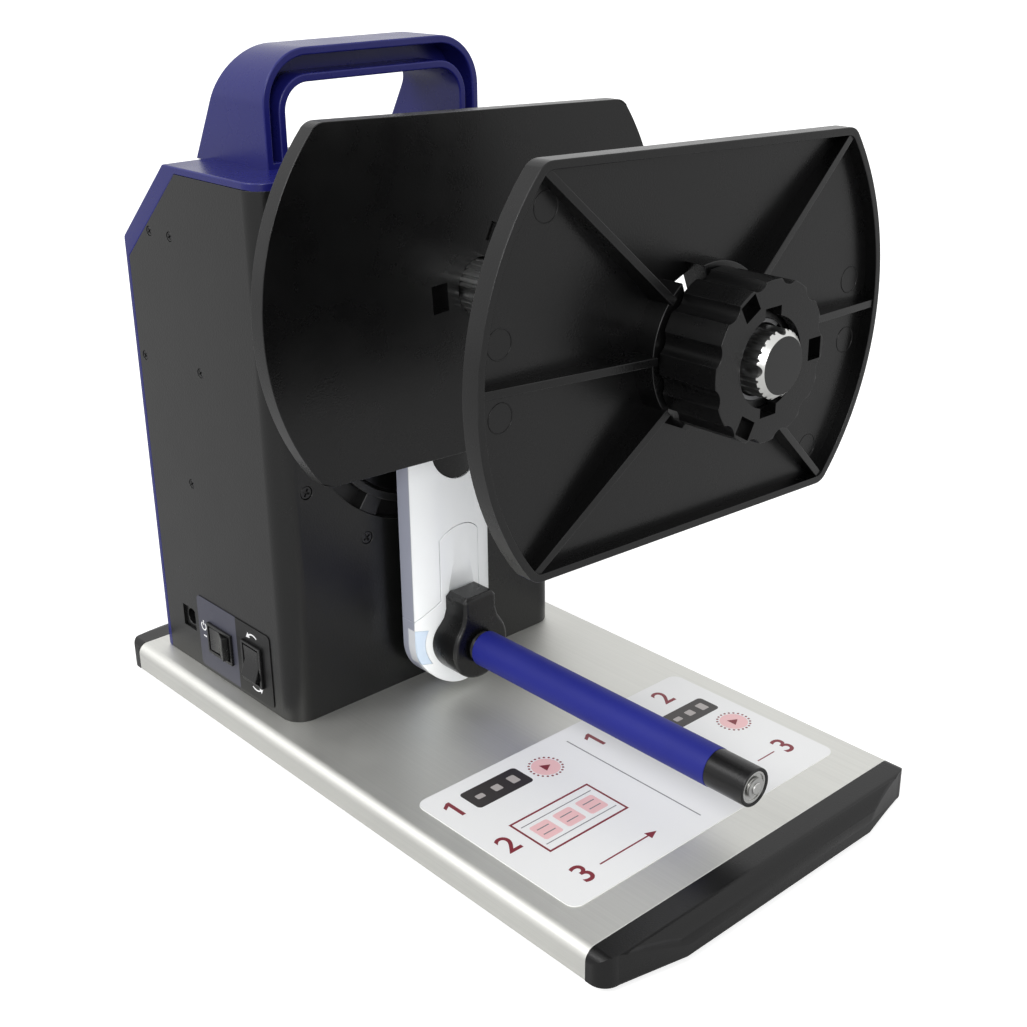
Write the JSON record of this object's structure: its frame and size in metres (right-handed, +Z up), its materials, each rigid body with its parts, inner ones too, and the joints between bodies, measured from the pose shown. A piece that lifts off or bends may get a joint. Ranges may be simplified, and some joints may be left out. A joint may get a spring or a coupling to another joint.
{
  "type": "label rewinder",
  "caption": "Desktop label rewinder: a motor tower on a flat base turns a fluted spindle with two flanges and a lock knob, and a sprung tension arm carries a guide roller",
  "frame": {"origin": "on the floor, under the middle of the overall box", "axes": "X to the right seen from the front, Y from the front to the back along the spindle, Z up"},
  "size_m": [0.1736, 0.2846, 0.2472],
  "materials": {
    "anodised": "satin anodised, fine grain",
    "black_plastic": "satin moulded, fine texture",
    "housing": "fine textured paint",
    "blue_plastic": "semi-gloss moulded",
    "rubber_foot": "matte",
    "label": "smooth printed film",
    "panel": "printed film, two tones",
    "switch_black": "moulded",
    "die_cast": "black paint",
    "plate_steel": "zinc plated",
    "screw_steel": "zinc plated",
    "screw_black": "black oxide",
    "bright_steel": "ground",
    "spindle_metal": "machined",
    "collet_metal": "machined",
    "motor_case": "plated can",
    "brass": "machined",
    "gear_plastic": "moulded",
    "board": "solder mask",
    "lead": "insulated wire",
    "arm_silver": "fine silver paint",
    "arm_lens": "pale translucent",
    "roller_blue": "matte sleeve"
  },
  "bodies": {
    "base": {"base_plate": "anodised", "underside_plate": "plate_steel", "front_end_cap": "black_plastic", "rear_end_cap": "black_plastic", "rubber_feet": "rubber_foot", "instruction_label": "label", "base_screws": "screw_steel", "tower_housing": "housing", "rear_cover": "blue_plastic", "side_screws": "screw_black", "switch_panel": "panel", "power_switch_body": "switch_black", "direction_switch_body": "switch_black", "power_inlet": "switch_black", "pivot_plate": "die_cast", "pivot_plate_screws": "screw_black", "chassis_plate": "plate_steel", "frame_spacers": "screw_steel", "spindle_bearings": "bright_steel", "drive_motor": "motor_case", "motor_screws": "screw_steel", "control_board": "board", "board_parts": "switch_black", "board_standoffs": "brass", "wiring_leads": "lead", "arm_bush": "brass", "arm_spring": "screw_steel", "arm_sensor": "switch_black"},
    "reel": {"spindle_shaft": "spindle_metal", "spindle_gear": "gear_plastic", "spindle_clip": "screw_steel", "inner_flange": "black_plastic", "flange_collar": "black_plastic"},
    "outer_flange": {"outer_flange": "black_plastic", "clamp_collet": "collet_metal"},
    "lock_knob": {"lock_knob": "black_plastic"},
    "motor_pinion": {"motor_pinion": "brass", "motor_shaft": "bright_steel"},
    "arm": {"arm_lever": "plate_steel", "arm_disc": "black_plastic", "arm_pivot_shaft": "bright_steel", "pivot_clip": "screw_steel", "sensor_flag": "switch_black", "arm_screws": "screw_steel", "arm_upper_cover": "arm_silver", "arm_lower_cover": "arm_silver", "arm_window": "arm_lens", "arm_screw_cap": "black_plastic", "roller_bracket": "black_plastic", "bracket_screws": "screw_steel", "roller_axle": "bright_steel", "axle_clip": "screw_steel"},
    "roller": {"roller_tube": "bright_steel", "roller_sleeve": "roller_blue", "roller_end_cap": "black_plastic", "roller_bearings": "bright_steel"},
    "power_rocker": {"power_rocker": "switch_black"},
    "direction_rocker": {"direction_rocker": "switch_black"}
  },
  "joints": [
    {"name": "reel_spin", "type": "hinge", "parent": "base", "child": "reel", "pos_m": [0, 0, 0.1715], "axis": [0, 1, 0], "continuous": true},
    {"name": "outer_flange_slide", "type": "slide", "parent": "reel", "child": "outer_flange", "axis": [0, -1, 0], "range_m": [-0.066, 0.02]},
    {"name": "lock_knob_turn", "type": "hinge", "parent": "outer_flange", "child": "lock_knob", "pos_m": [0, -0.114, 0.1715], "axis": [0, 1, 0], "range_deg": [-60, 0]},
    {"name": "pinion_spin", "type": "hinge", "parent": "base", "child": "motor_pinion", "pos_m": [0.0206, 0.062, 0.14695], "axis": [0, 1, 0], "continuous": true},
    {"name": "arm_swing", "type": "hinge", "parent": "base", "child": "arm", "pos_m": [0, 0.04, 0.1316], "axis": [0, 1, 0], "range_deg": [-24, 24], "stiffness_Nm_per_rad": 0.3},
    {"name": "roller_spin", "type": "hinge", "parent": "arm", "child": "roller", "pos_m": [0, -0.06, 0.0338], "axis": [0, 1, 0], "continuous": true},
    {"name": "power_press", "type": "hinge", "parent": "base", "child": "power_rocker", "pos_m": [-0.064, 0.0785, 0.0292], "axis": [0, 0, 1], "range_deg": [0, 20]},
    {"name": "direction_press", "type": "hinge", "parent": "base", "child": "direction_rocker", "pos_m": [-0.064, 0.0563, 0.0292], "axis": [0, -1, 0], "range_deg": [0, 20]}
  ],
  "couplings": [
    {"joint": "pinion_spin", "follows": "reel_spin", "ratio": -3}
  ]
}
